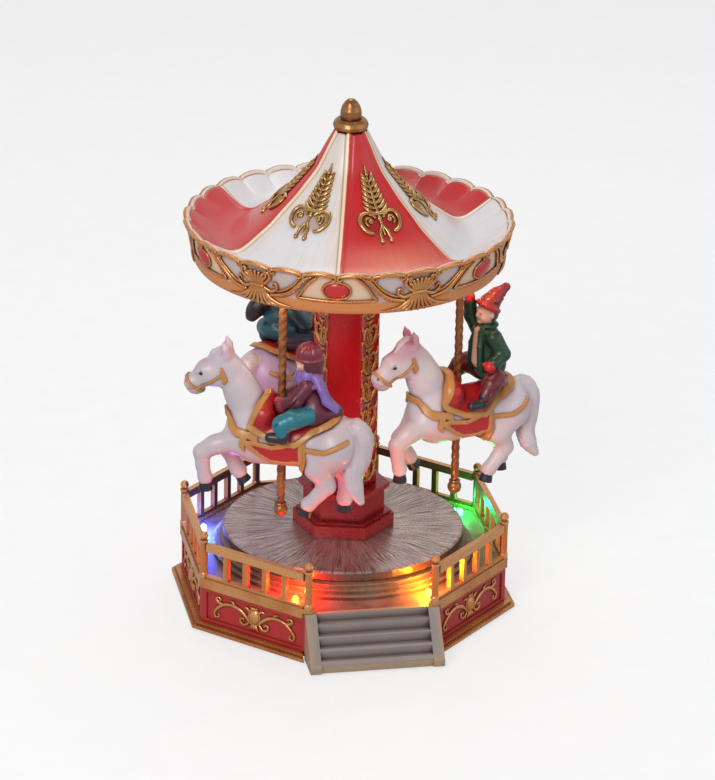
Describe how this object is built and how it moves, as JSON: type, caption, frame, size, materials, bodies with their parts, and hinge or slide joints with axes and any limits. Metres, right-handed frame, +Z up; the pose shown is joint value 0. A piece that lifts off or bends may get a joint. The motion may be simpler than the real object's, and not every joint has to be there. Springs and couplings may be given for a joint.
{
  "type": "tabletop carousel",
  "caption": "Small battery-lit ornamental carousel: octagonal base with railing and steps, turning deck, column and striped canopy carrying horses with child riders.",
  "frame": {"origin": "on the turning axis, in the plane the rubber feet stand on", "axes": "+Z up along the turning axis, entry stairs towards -Y"},
  "size_m": [0.1809, 0.1823, 0.26],
  "materials": {
    "antique_gold": "gold painted resin with darker recesses",
    "base_crimson": "satin painted resin",
    "battery_wrap": "plain printed film",
    "black_plastic": "fine moulded texture",
    "board_green": "lacquered board",
    "bush_brass": "turned brass",
    "column_red": "satin painted resin",
    "copper_strip": "bare spring strip",
    "cream_resin": "satin painted resin",
    "deck_taupe": "grey-brown paint over carved grain",
    "foot_rubber": "soft rubber",
    "gear_nylon": "moulded nylon",
    "horse_white": "white painted resin with lilac shading",
    "lamp_amber": "clear moulded lens",
    "lamp_blue": "clear moulded lens",
    "lamp_green": "clear moulded lens",
    "lamp_red": "clear moulded lens",
    "lamp_warm": "clear moulded lens",
    "lead_insulation": "soft insulation",
    "motor_steel": "drawn steel",
    "pole_brass": "copper gold paint on a twisted rod",
    "rider_burgundy": "hand painted resin",
    "rider_green": "hand painted resin",
    "rider_teal": "hand painted resin",
    "roof_paint": "painted resin, red and white panels",
    "saddle_red": "red paint with gold edges",
    "screw_steel": "zinc plated",
    "spring_steel": "nickel plated",
    "stair_stone": "blue-grey paint with brown dry brushing"
  },
  "bodies": {
    "base": {"base_shell": "base_crimson", "plinth_moulding": "antique_gold", "side_panels": "base_crimson", "side_panel_frames": "base_crimson", "side_scrollwork": "antique_gold", "fence_base_rail": "antique_gold", "fence_panels": "antique_gold", "corner_posts": "antique_gold", "entry_stairs": "stair_stone", "stepped_surround": "deck_taupe", "bottom_cover": "black_plastic", "rubber_feet": "foot_rubber", "cover_screws": "screw_steel", "battery_box": "black_plastic", "batteries": "battery_wrap", "battery_contacts": "spring_steel", "door_hinge_pin": "screw_steel", "switch_body": "black_plastic", "spindle_bush": "bush_brass", "thrust_washer": "gear_nylon", "gearbox_case": "gear_nylon", "drive_motor": "motor_steel", "control_board": "board_green", "contact_brushes": "copper_strip", "battery_leads": "lead_insulation", "corner_lamp_red": "lamp_red", "corner_lamp_amber": "lamp_amber", "corner_lamp_green": "lamp_green", "corner_lamp_blue": "lamp_blue"},
    "battery_door": {"battery_door": "black_plastic"},
    "switch_knob": {"switch_knob": "black_plastic"},
    "motor_pinion": {"motor_pinion": "gear_nylon"},
    "carousel": {"canopy_ceiling": "cream_resin", "canopy_lamps": "lamp_warm", "canopy_roof": "roof_paint", "column_pedestal": "column_red", "column_scrolls": "antique_gold", "column_shaft": "column_red", "drive_gear": "gear_nylon", "fascia_medallions": "antique_gold", "fascia_ring": "cream_resin", "fascia_shells": "antique_gold", "finial": "antique_gold", "finial_collar": "antique_gold", "front_horse": "horse_white", "front_rider": "rider_burgundy", "front_saddle": "saddle_red", "gear_clip": "screw_steel", "horse_poles": "pole_brass", "pedestal_cornice": "column_red", "rear_horse": "horse_white", "rear_rider": "rider_teal", "rear_saddle": "saddle_red", "right_horse": "horse_white", "right_rider": "rider_green", "right_saddle": "saddle_red", "roof_emblems": "antique_gold", "slip_ring": "gear_nylon", "spindle": "motor_steel", "turntable_deck": "deck_taupe"}
  },
  "joints": [
    {"name": "carousel_spin", "type": "hinge", "parent": "base", "child": "carousel", "pos_m": [0, 0, 0], "axis": [0, 0, 1], "continuous": true},
    {"name": "pinion_spin", "type": "hinge", "parent": "base", "child": "motor_pinion", "pos_m": [0, 0.0288, 0], "axis": [0, 0, 1], "continuous": true},
    {"name": "switch_slide", "type": "slide", "parent": "base", "child": "switch_knob", "axis": [1, 0, 0], "range_m": [0, 0.003]},
    {"name": "battery_door_hinge", "type": "hinge", "parent": "base", "child": "battery_door", "pos_m": [0, -0.026, 0.0024], "axis": [1, 0, 0], "range_deg": [0, 95]}
  ],
  "couplings": [
    {"joint": "pinion_spin", "follows": "carousel_spin", "ratio": -3.5}
  ]
}
